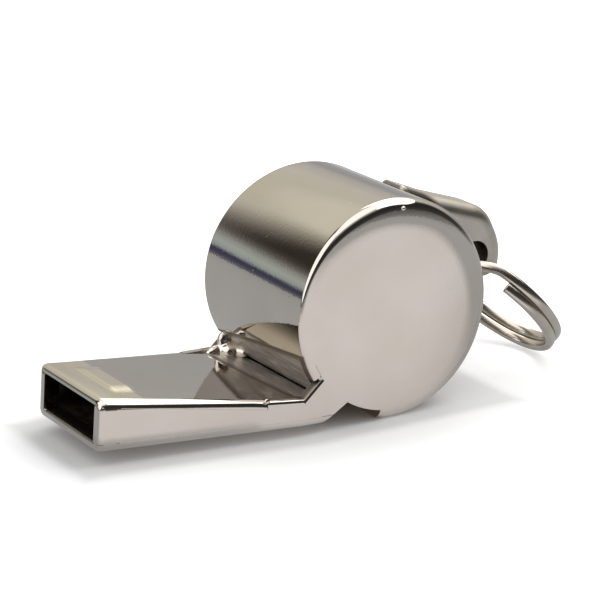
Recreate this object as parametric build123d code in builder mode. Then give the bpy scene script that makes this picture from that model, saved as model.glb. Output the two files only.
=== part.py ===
"""Pea whistle of soldered sheet brass, with a lanyard lug and a split ring.

Millimetres. +Z is up, +X runs from the mouthpiece to the lanyard ring, and Y is the barrel's axis.
The origin is under the middle of the whole whistle, on the surface that the barrel stands on.
"""
import math
import os

from build123d import *

os.makedirs("parts", exist_ok=True)

# Barrel
barrel_diameter = 20.0
body_width = 17.0
band_wall = 0.8
plate_wall = 0.95
solder_film = 0.05
rim_round = 0.75
rim_drop = 0.2
crown_inset = 1.13
crown_start = 8.1
crown_round = 8.5
crown_open = 36.0
band_lip_angle = 222.0
band_shoulder_angle = 210.5
band_end_lead = 1.8

# Mouthpiece
mouth_length = 18.35
mouth_width = 11.4
mouth_height = 4.8
lip_lean = 0.35
lip_level = 1.3
heel_level = 0.82
heel_inset = 2.25
heel_angle = 236.0
floor_wall = 0.7
floor_lap = 2.2
roof_wall = 0.7
bend_inset = 0.55
shoulder_lead = 3.55
gusset_drop = 0.28
gusset_angle = 212.5
plate_round = 0.4
window_stand_off = 0.18
window_angle = 224.2
roof_edge_wall = 0.35
roof_bevel_length = 2.5
edge_round = 0.65
lip_round = 0.5

# Tooth grip, pressed out of the roof
grip_setback = 2.4
grip_length = 2.2
grip_width = 5.6
grip_height = 0.22
grip_slope = 50.0
grip_round = 0.4

# Lanyard lug
lug_width = 5.0
lug_round = 1.4
lug_pad_angle = 60.5
lug_pad_wall = 0.38
lug_pad_round = 0.2
lug_knee_round = 4.0
lug_knee_angle = 42.0
lug_knee_wall = 1.4
lug_shoulder_stand_off = 4.35
lug_shoulder_rise = 5.75
lug_shoulder_round = 3.6
lug_back_stand_off = 6.05
lug_back_rise = 2.1
lug_back_round = 5.0
lug_foot_stand_off = 5.7
lug_foot_drop = 1.0
lug_foot_round = 1.6
eye_stand_off = 1.9
eye_rise = 1.5
eye_radius = 1.45
eye_inward = 0.2
eye_outward = 0.7

# Split ring, wound from one wire
ring_diameter = 15.0
ring_wire = 0.8
ring_gap = 0.42
ring_lean = 42.4
ring_yaw = 5.5
crossing_start = 47.0
crossing_end = 15.0
near_end_angle = 53.0
far_end_angle = 8.0
turn_pieces = 4

# Cork pea
pea_diameter = 10.0
pea_clearance = 0.3

# Shares of a direction along one axis, above which a face or an edge counts as lying that way
skin_share = 0.9
run_share = 0.5

# One overrun for every cut
overrun = 1.0

# Derived sizes
barrel_radius = barrel_diameter / 2
half_width = body_width / 2
disc_radius = barrel_radius - band_wall - solder_film
inner_half = half_width - plate_wall
fill_half = inner_half - solder_film
ring_radius = (ring_diameter - ring_wire) / 2
ring_pitch = ring_wire + ring_gap
lean = math.radians(ring_lean)
yaw = math.radians(ring_yaw)
eye_reach = barrel_radius + eye_stand_off

# The origin lies halfway between the lip and the ring's outermost wire
lip_reach = barrel_radius + mouth_length
ring_out_x = math.sin(lean) * math.cos(yaw)
ring_axis_x = math.cos(lean) * math.cos(yaw)
ring_spread = ring_radius * (ring_out_x + math.hypot(ring_out_x, math.sin(yaw)))
ring_tip = ring_spread + ring_pitch / 2 * ring_axis_x + ring_wire / 2
barrel_x = (lip_reach - eye_reach - ring_tip) / 2
axis_z = barrel_radius
lip_x = barrel_x - lip_reach
bend_x = barrel_x - barrel_radius + bend_inset
shoulder_x = bend_x - shoulder_lead
heel_x = barrel_x - barrel_radius + heel_inset


def polar(radius, degrees):
    """Point in the XZ plane at a radius and an angle round the barrel's axis, from +X over the top."""
    angle = math.radians(degrees)
    return (barrel_x + radius * math.cos(angle), axis_z + radius * math.sin(angle))


# Roof line: from the top of the lip down to the rear edge in front of the barrel's lip
lip_top = lip_level + mouth_height
roof_front_x = lip_x + lip_lean
roof_rear_x, roof_rear_z = polar(barrel_radius + window_stand_off, window_angle)
roof_slope = (lip_top - roof_rear_z) / (roof_rear_x - roof_front_x)
roof_drop = roof_wall * math.hypot(1, roof_slope)
floor_slope = (lip_level - heel_level) / (heel_x - lip_x)
notch_x, notch_z = polar(disc_radius, heel_angle)


def roof_top(x):
    """Height of the roof's upper face at x."""
    return lip_top - roof_slope * (x - roof_front_x)


def floor_under(x):
    """Height of the floor's lower face at x."""
    return lip_level - floor_slope * (x - lip_x)


def lip_line(z):
    """X of the leaning front face at height z."""
    return lip_x + lip_lean * (z - lip_level) / mouth_height


def heel_line(z):
    """X of the slanting heel at height z, from the floor's corner up to the notch in front of the disc."""
    return heel_x + (notch_x - heel_x) * (z - heel_level) / (notch_z - heel_level)


# Plan of the sides: parallel along the barrel, then drawn in towards the lip
taper = (half_width - mouth_width / 2) / (bend_x - lip_x)
wall_across = plate_wall * math.hypot(1, taper)


def outer_side(x):
    """Half width over the side plates at x."""
    return half_width - taper * max(0, bend_x - x)


def inner_side(x):
    """Half width between the side plates at x, less the solder film."""
    return min(outer_side(x) - wall_across - solder_film, fill_half)


def both_sides(points):
    """Outline in plan from points (x, half width) along the +Y side and back along the -Y side."""
    return points + [(x, -half) for x, half in reversed(points)]


def lip_face(piece):
    """Front face of a piece of the mouthpiece."""
    return piece.faces().sort_by(Axis.X)[0]


def finish_lip(piece, inward, stop):
    """Rounds the edges of the front face, sorted along an axis into the mouth, that come before stop."""
    fillet(lip_face(piece).edges().sort_by(inward)[:stop], lip_round)


# Side plate: a disc with the side of the mouthpiece in one piece, bent in at the barrel
roof_seat = roof_drop + solder_film
floor_seat = floor_wall + solder_film
lip_floor = lip_level + floor_seat
heel_floor = floor_under(heel_line(heel_level + floor_seat)) + floor_seat
lip_seat_x = lip_line(lip_top - roof_seat)
gusset_foot_z = roof_top(shoulder_x) - gusset_drop
side_outline = [
    (lip_line(lip_floor), lip_floor),
    (lip_seat_x, roof_top(lip_seat_x) - roof_seat),
    (shoulder_x + solder_film, roof_top(shoulder_x + solder_film) - roof_seat),
    (shoulder_x + solder_film, roof_top(shoulder_x)),
    (bend_x, gusset_foot_z),
    polar(disc_radius, gusset_angle),
    (barrel_x, axis_z),
    (notch_x, notch_z),
    (heel_line(heel_floor), heel_floor),
]

# Crown: the disc's outer face falls away to its rim, all round but where the mouthpiece joins it
crown_angle = (gusset_angle + heel_angle) / 2
crown_x, crown_z = polar(crown_inset, crown_angle)
crown_end = disc_radius + crown_inset + overrun
crown_depth = crown_round - math.sqrt(crown_round**2 - (crown_end - crown_start) ** 2)
crown_from = crown_angle + crown_open / 2
crown_side = math.radians(crown_from)
crown_plane = Plane(
    origin=(crown_x, -half_width, crown_z),
    x_dir=(math.cos(crown_side), 0, math.sin(crown_side)),
    z_dir=(-math.sin(crown_side), 0, math.cos(crown_side)),
)
plan_mitre = plate_wall * math.tan(math.atan(taper) / 2)
plate_plan = [
    (barrel_x + barrel_radius, -half_width),
    (bend_x, -half_width),
    (lip_x, -outer_side(lip_x)),
    (lip_x, wall_across - outer_side(lip_x)),
    (bend_x + plan_mitre, -inner_half),
    (barrel_x + barrel_radius, -inner_half),
]
with BuildPart() as right_side_plate:
    with BuildSketch(Plane.XZ):
        with Locations((barrel_x, axis_z)):
            Circle(disc_radius)
        with BuildLine():
            Polyline(*side_outline, close=True)
        make_face()
    extrude(amount=body_width)
    with BuildSketch(Plane.XY):
        with BuildLine():
            Polyline(*plate_plan, close=True)
        make_face()
    extrude(amount=barrel_diameter, mode=Mode.INTERSECT)
    plate_skin = right_side_plate.faces().filter_by(lambda f: f.normal_at().Y < -skin_share)
    upper_edges = plate_skin.edges().filter_by(GeomType.LINE).filter_by(
        lambda e: shoulder_x + solder_film < e.center().X < barrel_x and roof_rear_z < e.center().Z < axis_z
    )
    fillet(upper_edges.filter_by(lambda e: abs(e.tangent_at(0).X) > run_share), plate_round)
    finish_lip(right_side_plate, Axis.Y, 1)
    with BuildSketch(crown_plane):
        with BuildLine():
            Polyline(
                (crown_end, crown_depth), (crown_end, -overrun), (crown_start, -overrun), (crown_start, 0)
            )
            TangentArc((crown_start, 0), (crown_end, crown_depth), tangent=(1, 0))
        make_face()
    revolve(axis=Axis((crown_x, 0, crown_z), (0, -1, 0)), revolution_arc=360 - crown_open, mode=Mode.SUBTRACT)

with BuildPart() as left_side_plate:
    mirror(right_side_plate.part, about=Plane.XZ)

# Barrel band: one strip rolled round both discs, just below their flats, and narrowed at its lip
band_end_angle = -90 - math.degrees(math.asin(band_end_lead / barrel_radius))
band_inner = barrel_radius - band_wall
with BuildPart() as barrel_band:
    with BuildSketch(Plane.XZ):
        with BuildLine():
            CenterArc((barrel_x, axis_z), barrel_radius, band_end_angle, band_lip_angle - band_end_angle)
            CenterArc((barrel_x, axis_z), band_inner, band_end_angle, band_lip_angle - band_end_angle)
            Line(polar(band_inner, band_end_angle), polar(barrel_radius, band_end_angle))
            Line(polar(band_inner, band_lip_angle), polar(barrel_radius, band_lip_angle))
        make_face()
    extrude(amount=half_width - rim_drop, both=True)
    rims = barrel_band.edges().filter_by(GeomType.CIRCLE).group_by(Axis.Y)
    fillet((rims[0] + rims[-1]).filter_by(lambda e: e.radius > band_inner + band_wall / 2), rim_round)
    shoulder_outer = barrel_radius + overrun
    shoulder_inner = band_inner - overrun
    shoulder_sweep = 2 * (band_lip_angle - band_shoulder_angle)
    for cut_start in (fill_half, -half_width - overrun):
        with BuildSketch(Plane.XZ.offset(cut_start)):
            with BuildLine():
                CenterArc((barrel_x, axis_z), shoulder_outer, band_shoulder_angle, shoulder_sweep)
                CenterArc((barrel_x, axis_z), shoulder_inner, band_shoulder_angle, shoulder_sweep)
                Line(polar(shoulder_inner, band_shoulder_angle), polar(shoulder_outer, band_shoulder_angle))
                shoulder_stop = band_shoulder_angle + shoulder_sweep
                Line(polar(shoulder_inner, shoulder_stop), polar(shoulder_outer, shoulder_stop))
            make_face()
        extrude(amount=half_width - fill_half + overrun, mode=Mode.SUBTRACT)

# Roof of the mouthpiece: a flat plate over the side plates, with a tongue between them
roof_profile = [
    (roof_front_x, lip_top),
    (roof_rear_x, roof_rear_z),
    (roof_rear_x, roof_rear_z - roof_edge_wall),
    (roof_rear_x - roof_bevel_length, roof_top(roof_rear_x - roof_bevel_length) - roof_drop),
    (lip_line(lip_top - roof_drop), lip_top - roof_drop),
]
roof_plan = both_sides([
    (lip_x, outer_side(lip_x)),
    (shoulder_x, outer_side(shoulder_x)),
    (shoulder_x, inner_side(shoulder_x)),
    (bend_x, inner_side(bend_x)),
    (roof_rear_x, inner_side(roof_rear_x)),
])
roof_tilt = math.atan(roof_slope)
roof_plane = Plane(
    origin=(roof_front_x, 0, lip_top),
    x_dir=(math.cos(roof_tilt), 0, -math.sin(roof_tilt)),
    z_dir=(math.sin(roof_tilt), 0, math.cos(roof_tilt)),
)
with BuildPart() as mouthpiece_roof:
    with BuildSketch(Plane.XZ):
        with BuildLine():
            Polyline(*roof_profile, close=True)
        make_face()
    extrude(amount=half_width, both=True)
    with BuildSketch(Plane.XY):
        with BuildLine():
            Polyline(*roof_plan, close=True)
        make_face()
    extrude(amount=barrel_diameter, mode=Mode.INTERSECT)
    top_face = mouthpiece_roof.faces().sort_by(lambda f: f.normal_at().Z * f.area)[-1]
    long_edges = top_face.edges().filter_by(lambda e: abs(e.center().Y) > inner_side(shoulder_x) - plate_wall)
    fillet(long_edges.filter_by(lambda e: e.length > shoulder_lead and e.center().X < shoulder_x), edge_round)
    finish_lip(mouthpiece_roof, -Axis.Z, -1)
    with BuildSketch(roof_plane):
        with Locations((grip_setback + grip_length / 2, 0)):
            Rectangle(grip_length, grip_width)
    extrude(amount=grip_height, taper=grip_slope)
    grip_middle = roof_plane.from_local_coords((grip_setback + grip_length / 2, 0, grip_height))
    grip_top = mouthpiece_roof.faces().sort_by_distance(grip_middle)[0]
    fillet(grip_top.edges(), grip_round)

# Floor of the mouthpiece: a flat plate under the side plates, with a tail that bends up into the band
tail_inner = disc_radius - floor_wall
tail_stop = math.degrees(math.asin(floor_lap / disc_radius)) + 270
heel_top_z = floor_under(heel_line(heel_level + floor_wall)) + floor_wall
heel_top_x = heel_line(heel_top_z)

# The tail rises from the middle of the floor's wall, and its inner side runs along the heel to its inner arc
tail_sink = floor_wall / 2
tail_heel_z = floor_under(heel_line(heel_level + tail_sink)) + tail_sink
heel_run = math.hypot(notch_x - heel_x, notch_z - heel_level)
heel_dx = (notch_x - heel_x) / heel_run
heel_dz = (notch_z - heel_level) / heel_run
bend_top_x = notch_x - floor_wall * heel_dz
bend_top_z = notch_z + floor_wall * heel_dx
bend_drop = bend_top_z - floor_under(bend_top_x) - tail_sink
bend_run = bend_drop / (heel_dz + floor_slope * heel_dx)
tail_foot = (bend_top_x - bend_run * heel_dx, bend_top_z - bend_run * heel_dz)
bend_along = (bend_top_x - barrel_x) * heel_dx + (bend_top_z - axis_z) * heel_dz
bend_excess = math.hypot(bend_top_x - barrel_x, bend_top_z - axis_z) ** 2 - tail_inner**2
crest_run = -bend_along - math.sqrt(bend_along**2 - bend_excess)
crest_x = bend_top_x + crest_run * heel_dx
crest_z = bend_top_z + crest_run * heel_dz
crest_angle = math.degrees(math.atan2(crest_z - axis_z, crest_x - barrel_x)) % 360
floor_profile = [
    (lip_line(lip_level + floor_wall), lip_level + floor_wall),
    (lip_x, lip_level),
    (heel_x, heel_level),
    (heel_top_x, heel_top_z),
]
floor_plan = both_sides([
    (lip_x, outer_side(lip_x)),
    (bend_x, half_width),
    (barrel_x, half_width),
])
with BuildPart() as mouthpiece_floor:
    with BuildSketch(Plane.XZ):
        with BuildLine():
            Polyline(*floor_profile, close=True)
        make_face()
    extrude(amount=half_width, both=True)
    with BuildSketch(Plane.XY):
        with BuildLine():
            Polyline(*floor_plan, close=True)
        make_face()
    extrude(amount=barrel_diameter, mode=Mode.INTERSECT)
    under_face = mouthpiece_floor.faces().sort_by(lambda f: f.normal_at().Z * f.area)[0]
    fillet(under_face.edges().filter_by(lambda e: e.center().X > lip_x + lip_lean), edge_round)
    finish_lip(mouthpiece_floor, Axis.Z, -1)
    with BuildSketch(Plane.XZ):
        with BuildLine():
            Line(tail_foot, (heel_line(tail_heel_z), tail_heel_z))
            Line((heel_line(tail_heel_z), tail_heel_z), (notch_x, notch_z))
            CenterArc((barrel_x, axis_z), disc_radius, heel_angle, tail_stop - heel_angle)
            Line(polar(disc_radius, tail_stop), polar(tail_inner, tail_stop))
            CenterArc((barrel_x, axis_z), tail_inner, crest_angle, tail_stop - crest_angle)
            Line(polar(tail_inner, crest_angle), tail_foot)
        make_face()
    extrude(amount=fill_half, both=True)

# Lanyard lug: a domed bow on the back of the barrel, with an eye along Y for the ring
seat_radius = barrel_radius + solder_film
foot_z = axis_z - lug_foot_drop
lug_bow = [
    polar(barrel_radius / 2, lug_pad_angle),
    polar(seat_radius + lug_pad_wall, lug_pad_angle),
    polar(seat_radius + lug_knee_wall, lug_knee_angle),
    (barrel_x + barrel_radius + lug_shoulder_stand_off, axis_z + lug_shoulder_rise),
    (barrel_x + barrel_radius + lug_back_stand_off, axis_z + lug_back_rise),
    (barrel_x + barrel_radius + lug_foot_stand_off, foot_z),
    (barrel_x + barrel_radius / 2, foot_z),
]
lug_turns = [lug_pad_round, lug_knee_round, lug_shoulder_round, lug_back_round, lug_foot_round]
eye_x = barrel_x + eye_reach
eye_z = axis_z + eye_rise
with BuildPart() as lanyard_lug:
    with BuildSketch(Plane.XZ):
        with BuildLine():
            FilletPolyline(*lug_bow, radius=lug_turns)
            Line(lug_bow[-1], lug_bow[0])
        make_face()
    extrude(amount=lug_width / 2, both=True)
    flanks = lanyard_lug.edges().group_by(Axis.Y)
    bow_edges = (flanks[0] + flanks[-1]).filter_by(
        lambda e: math.hypot(e.center().X - barrel_x, e.center().Z - axis_z) > barrel_radius
    )
    fillet(bow_edges, lug_round)
    with BuildSketch(Plane.XZ):
        with Locations((barrel_x, axis_z)):
            Circle(seat_radius)
    extrude(amount=lug_width, both=True, mode=Mode.SUBTRACT)
    with BuildSketch(Plane.XZ):
        with Locations((eye_x + (eye_outward - eye_inward) / 2, eye_z)):
            SlotCenterToCenter(eye_outward + eye_inward, 2 * eye_radius)
    extrude(amount=lug_width, both=True, mode=Mode.SUBTRACT)

# Split ring: two turns of one wire, side by side, that cross over once beside the lug
ring_out = Vector(math.sin(lean) * math.cos(yaw), math.sin(lean) * math.sin(yaw), -math.cos(lean))
ring_axis = Vector(math.cos(lean) * math.cos(yaw), math.cos(lean) * math.sin(yaw), math.sin(lean))
ring_near = Vector(math.sin(yaw), -math.cos(yaw), 0)
ring_centre = Vector(eye_x, 0, eye_z) + ring_out * ring_radius


def ring_point(degrees, side):
    """Point on the wire's centre line; the angle runs from the eye, and side is -1 to 1 across the turns."""
    angle = math.radians(degrees)
    spoke = ring_near * math.sin(angle) - ring_out * math.cos(angle)
    return ring_centre + spoke * ring_radius + ring_axis * (side * ring_pitch / 2)


def ring_tangent(degrees):
    """Direction of travel along a turn, towards smaller angles."""
    angle = math.radians(degrees)
    return (ring_near * math.cos(angle) + ring_out * math.sin(angle)) * -1


def turn_arcs(first, last, side):
    """Arcs of under half a turn along one flat turn of the ring."""
    step = (last - first) / turn_pieces
    for piece in range(turn_pieces):
        start = first + piece * step
        middle = start + step / 2
        ThreePointArc(ring_point(start, side), ring_point(middle, side), ring_point(start + step, side))


def crossing_middle(start, start_tangent, end, end_tangent):
    """Point where the two arcs of a crossing meet, at equal tangent lengths."""
    chord = end - start
    turned = start_tangent + end_tangent
    spread = 2 * (1 - start_tangent.dot(end_tangent))
    along = chord.dot(turned)
    reach = (math.sqrt(along**2 + spread * chord.dot(chord)) - along) / spread
    return (start + end + (start_tangent - end_tangent) * reach) / 2


crossing_first = crossing_start - 360
crossing_last = crossing_end - 360
cross_from = ring_point(crossing_first, 1)
cross_to = ring_point(crossing_last, -1)
cross_in = ring_tangent(crossing_first)
cross_out = ring_tangent(crossing_last)
cross_middle = crossing_middle(cross_from, cross_in, cross_to, cross_out)
with BuildPart() as split_ring:
    with BuildLine() as ring_path:
        turn_arcs(far_end_angle, crossing_first, 1)
        TangentArc(cross_from, cross_middle, tangent=cross_in)
        TangentArc(cross_to, cross_middle, tangent=cross_out * -1)
        turn_arcs(crossing_last, near_end_angle - 720, -1)
    with BuildSketch(Plane(origin=ring_point(far_end_angle, 1), z_dir=ring_tangent(far_end_angle))):
        Circle(ring_wire / 2)
    sweep()

# Cork pea, lying in the bottom of the barrel
pea_orbit = tail_inner - pea_clearance - pea_diameter / 2
with BuildPart() as cork_pea:
    with Locations((barrel_x, 0, axis_z - pea_orbit)):
        Sphere(pea_diameter / 2)

# Least gap of the ring's wire to itself, on points along its centre line
ring_wire_path = ring_path.wires()[0]
sample_count = 400
samples = [ring_wire_path.position_at(i / sample_count) for i in range(sample_count + 1)]
apart = sample_count // 8
least = min(
    (samples[i] - samples[j]).length
    for i in range(sample_count + 1)
    for j in range(i + apart, sample_count + 1)
)
wire_volume = math.pi * ring_wire**2 / 4 * ring_wire_path.length
print("least gap between the ring's turns, mm:", round(least - ring_wire, 3))
print("ring volume over its wire's volume:", round(split_ring.part.volume / wire_volume, 6))

pieces = {
    "right_side_plate": right_side_plate,
    "left_side_plate": left_side_plate,
    "barrel_band": barrel_band,
    "mouthpiece_roof": mouthpiece_roof,
    "mouthpiece_floor": mouthpiece_floor,
    "lanyard_lug": lanyard_lug,
    "split_ring": split_ring,
    "cork_pea": cork_pea,
}
for name, piece in pieces.items():
    piece.part.label = name
    export_step(piece.part, f"parts/{name}.step")
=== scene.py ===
"""Looks of a nickel-plated pea whistle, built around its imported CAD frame.

The CAD nodes carry the shapes. This script gives them their metals, adds the solder that joins the sheets,
draws the ring, the band's rims and the rim of the mouth more finely,
and sets the floor, the light and the camera.
Sizes are in millimetres and turned to metres where they are used.
"""

import math

import bpy
import numpy as np
from mathutils import Matrix


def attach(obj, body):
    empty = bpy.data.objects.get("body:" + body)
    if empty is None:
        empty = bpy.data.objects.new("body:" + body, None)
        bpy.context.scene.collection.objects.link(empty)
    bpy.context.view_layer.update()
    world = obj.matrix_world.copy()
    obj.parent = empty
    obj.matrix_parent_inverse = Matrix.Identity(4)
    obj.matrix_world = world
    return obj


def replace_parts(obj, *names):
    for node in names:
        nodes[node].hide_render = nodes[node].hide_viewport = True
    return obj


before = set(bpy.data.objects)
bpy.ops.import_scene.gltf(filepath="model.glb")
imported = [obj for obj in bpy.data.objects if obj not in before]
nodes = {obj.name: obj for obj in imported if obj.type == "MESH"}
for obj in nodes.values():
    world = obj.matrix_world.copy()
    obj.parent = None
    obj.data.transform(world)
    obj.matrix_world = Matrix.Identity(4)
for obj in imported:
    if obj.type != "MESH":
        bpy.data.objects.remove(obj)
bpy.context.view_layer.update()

MM = 0.001

# Places on the whistle, as in the part's source
barrel_x = 3.0111309
axis_z = 10.0
barrel_radius = 10.0
half_width = 8.5
slot_corner_x = -4.35
# Hollows that no polishing wheel reaches, by the slot and in the notch under the barrel, whose dark brown
# colour
# is painted shade: the middle, its drift in x and z per mm of y,
# how much they narrow per mm, and the distances from the middle of the rim and of the full dullness
slot_hollow = ((-5.2, 0.0, 4.2), (-0.088, -0.118), 0.071, 2.6, 2.4)
notch_hollow = ((-0.8, 0.0, 1.1), (0.0, 0.0), 0.0, 2.9, 2.6)
# Sideways shares of a face's normal at which it counts not at all, and fully, as lying in a hollow
hollow_facing = (0.8, 0.5)
# The dark border by distance from the slot hollow's middle,
# and the gussets' edges by distance from the whistle's middle plane
dark_border = (1.7, 2.35)
gusset_side = (7.5, 7.6)

# Mouthpiece, as in the part's source
lip_x = -25.3389
lip_lean = 0.35
lip_level = 1.3
mouth_height = 4.8
mouth_half = 5.7
bend_x = -6.4389
shoulder_x = -9.9889
heel_x = -4.7389
side_taper = 0.148148
roof_slope = 0.154437
floor_slope = 0.023301
side_wall = 0.95
sheet_wall = 0.7
# Rolled edges, a lean of the material's normals: depth of the roof's at the lip, at the shoulder
# and where it is full, the roof's leans at the lip and the shoulder, the floor's depth and lean,
# and the distances ahead of the shoulder between which they come in
top_roll = (1.35, 0.75, 0.3)
top_lean = (0.55, -0.1)
floor_roll = 1.5
floor_lean = 1.0
roll_fade = (0.1, 1.5)
# Bite zone: its rim behind the lip, and the upward share of the faces that are worn
bite_zone = (4.6, 4.4)
bite_upward = (0.9, 0.97)
roof_level = lip_level + mouth_height + roof_slope * (lip_x + lip_lean)
floor_level = lip_level + floor_slope * lip_x
solder_film = 0.05

# Barrel band: where the strip begins and ends, where it narrows, the rims,
# the crown of the discs that they carry on, and the mesh's counts
band_start = -100.37
band_stop = 224.8
band_narrow = 210.5
band_inner = 9.12
tongue_half = 7.5
rim_wide_to = 105.0
rim_tight_from = 165.0
rim_tight = 0.35
disc_radius = 9.15
crown_inset = 1.13
crown_angle = 224.25
crown_start = 8.1
crown_round = 8.5
band_steps = 420
tongue_steps = 16
rim_steps = 16
narrow_gap = 1e-3

# Lug's eye, and the tooth grip with the swelling that it fades out in
eye_middle = (15.1611, 0.0, 11.5)
eye_reach = 2.4
grip_setback = 2.4
grip_length = 2.2
swell_height = 0.235
swell_lead = 0.25
swell_run = 0.55
swell_half = 4.2
swell_fade = 1.9
# The swelling's margin round its foot, its sink into the roof, its root below, and the mesh's counts
swell_margin = 0.05
swell_sink = 0.012
swell_root = 0.1
swell_rows = 30
swell_columns = 84

# Painted dark reflection at the lug's foot: distances from the barrel's axis, and from the middle, between
# which it comes in
foot_dark_reach = (11.3, 10.7)
foot_dark_side = (1.3, 1.9)

# Split ring: its middle, its axes and the wire's path in degrees, as in the part's source
ring_lean = math.radians(42.4)
ring_yaw = math.radians(5.5)
ring_axis = np.array([
    math.cos(ring_lean) * math.cos(ring_yaw), math.cos(ring_lean) * math.sin(ring_yaw), math.sin(ring_lean),
])
ring_out = np.array([
    math.sin(ring_lean) * math.cos(ring_yaw), math.sin(ring_lean) * math.sin(ring_yaw), -math.cos(ring_lean),
])
ring_near = np.array([math.sin(ring_yaw), -math.cos(ring_yaw), 0.0])
ring_centre = np.array([19.6766, 0.4589, 6.2570])
ring_radius = 7.1
wire_first = 8.0
wire_last = 53.0 - 720.0
cross_first = 47.0 - 360.0
cross_last = 15.0 - 360.0
# The wire's section in mm, how square it is, half the pitch of its turns, and the mesh's counts
wire_deep = 0.8
wire_wide = 0.97
wire_squareness = 2.6
turn_half = 0.49
wire_steps = 620
wire_around = 28
# The wire's cut ends: their length in degrees, and shares of the length and of the section from the tip on
wire_end_round = 0.9
wire_end_places = np.array([0.0, 0.08, 0.3, 0.6])
wire_end_sizes = (0.72, 0.86, 0.95, 0.99)

# Lumps of solder: their waves, the last ring's angle, the mesh's counts, and how they melt together
lump_swell = 0.06
lump_last = 86.0
lump_rings = 22
lump_around = 32
melt_voxel = 0.06
flow_share = 0.5
flow_rounds = 22

# Seams of solder: start behind the lip, sink under the side's face, depth, lap over the sheets, and steps
seam_start = 0.5
seam_sink = 0.012
seam_deep = 0.3
seam_lap = 0.03
seam_steps = 80

# Share of a normal above which a face lies inside, and above which it looks to the eye's middle
inner_share = 0.6
eye_share = 0.5
# Edges sharper than this, in degrees, stay sharp
sharp_angle = 35.0

# Solder that shows: name, and the centre, radii and phase of each of its lumps
solder_beads = [
    ("solder_near_corner", [((-5.2, -7.35, 3.3), (0.7, 0.3, 0.35), 2.2)]),
    ("solder_bead_gusset", [((-4.74, -8.2, 5.15), (0.34, 0.27, 0.36), 0.9)]),
    ("solder_bead_shoulder", [((-9.99, -7.86, 3.76), (0.28, 0.18, 0.24), 2.7)]),
    ("solder_bead_rim", [((3.73, -8.2, 19.17), (0.26, 0.2, 0.22), 1.2)]),
    ("solder_far_corner", [
        ((-5.1, 6.75, 3.3), (1.3, 1.1, 0.95), 0.4), ((-5.4, 7.25, 4.15), (0.9, 0.6, 1.1), 1.9),
        ((-6.4, 7.2, 3.35), (1.2, 0.55, 0.55), 3.1), ((-4.6, 6.0, 3.35), (0.7, 1.1, 0.6), 5.2),
        ((-4.7, 7.0, 5.0), (0.75, 0.75, 0.8), 4.1),
    ]),
]


def linear(code):
    """Linear RGBA of an sRGB hex colour such as "c8c0b8"."""
    share = np.array([int(code[i:i + 2], 16) for i in (0, 2, 4)]) / 255
    flat = np.where(share <= 0.04045, share / 12.92, ((share + 0.055) / 1.055) ** 2.4)
    return (*flat.tolist(), 1.0)


def add(tree, kind, inputs=None, stops=None, **settings):
    """Adds a node with its properties, its ramp's stops of (place, RGBA), and its sockets set or linked."""
    node = tree.nodes.new(kind)
    for name, value in settings.items():
        setattr(node, name, value)
    while stops and len(node.color_ramp.elements) < len(stops):
        node.color_ramp.elements.new(1.0)
    for element, (place, colour) in zip(node.color_ramp.elements if stops else (), stops or ()):
        element.position = place
        element.color = colour
    for socket, value in (inputs or {}).items():
        if isinstance(value, bpy.types.NodeSocket):
            tree.links.new(value, node.inputs[socket])
        else:
            node.inputs[socket].default_value = value
    return node


def new_material(name):
    """Empty node material, and its tree."""
    material = bpy.data.materials.new(name)
    material.use_nodes = True
    tree = material.node_tree
    tree.nodes.clear()
    return material, tree


def per_metre(millimetres):
    """Texture scale, in repeats for each metre, of a pattern with that spacing in millimetres."""
    return 1 / (millimetres * MM)


def grey(value):
    """Neutral RGBA of a linear value, for ramps that carry a number."""
    return (value, value, value, 1.0)


# Materials


def depth_under_roof(tree, place):
    """Distance straight down from the plane of the roof's upper face, in metres."""
    fall = add(tree, "ShaderNodeVectorMath", {0: place, 1: (-roof_slope, 0, -1)}, operation="DOT_PRODUCT")
    depth = add(tree, "ShaderNodeMath", {0: fall.outputs["Value"], 1: roof_level * MM}, operation="ADD")
    return depth.outputs["Value"]


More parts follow.
